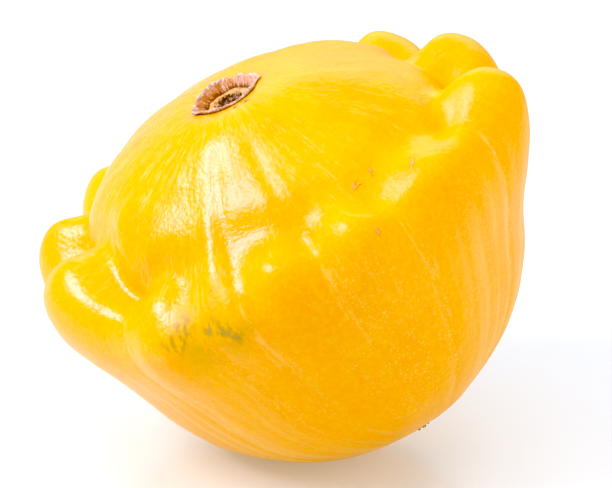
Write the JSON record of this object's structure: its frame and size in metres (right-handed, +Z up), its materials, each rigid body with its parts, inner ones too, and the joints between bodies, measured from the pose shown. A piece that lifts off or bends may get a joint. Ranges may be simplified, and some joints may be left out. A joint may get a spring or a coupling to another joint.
{
  "type": "pattypan squash",
  "caption": "Whole yellow pattypan squash with a knuckled, scalloped rim, a corky stem scar on its dome and a deep round blossom half, lying tilted at rest.",
  "frame": {"origin": "on the surface that the fruit rests on, under the middle of its bounding box", "axes": "+Z up; the fruit lies with its stem end leaning 28 degrees from upright towards -X, so +X is towards the blossom end"},
  "size_m": [0.122, 0.124, 0.1054],
  "materials": {
    "rind": "gloss",
    "cork": "matte",
    "dry_blossom": "matte"
  },
  "bodies": {
    "root": {"squash_fruit": "rind", "stem_stub": "cork", "blossom_tip": "dry_blossom"}
  },
  "joints": []
}
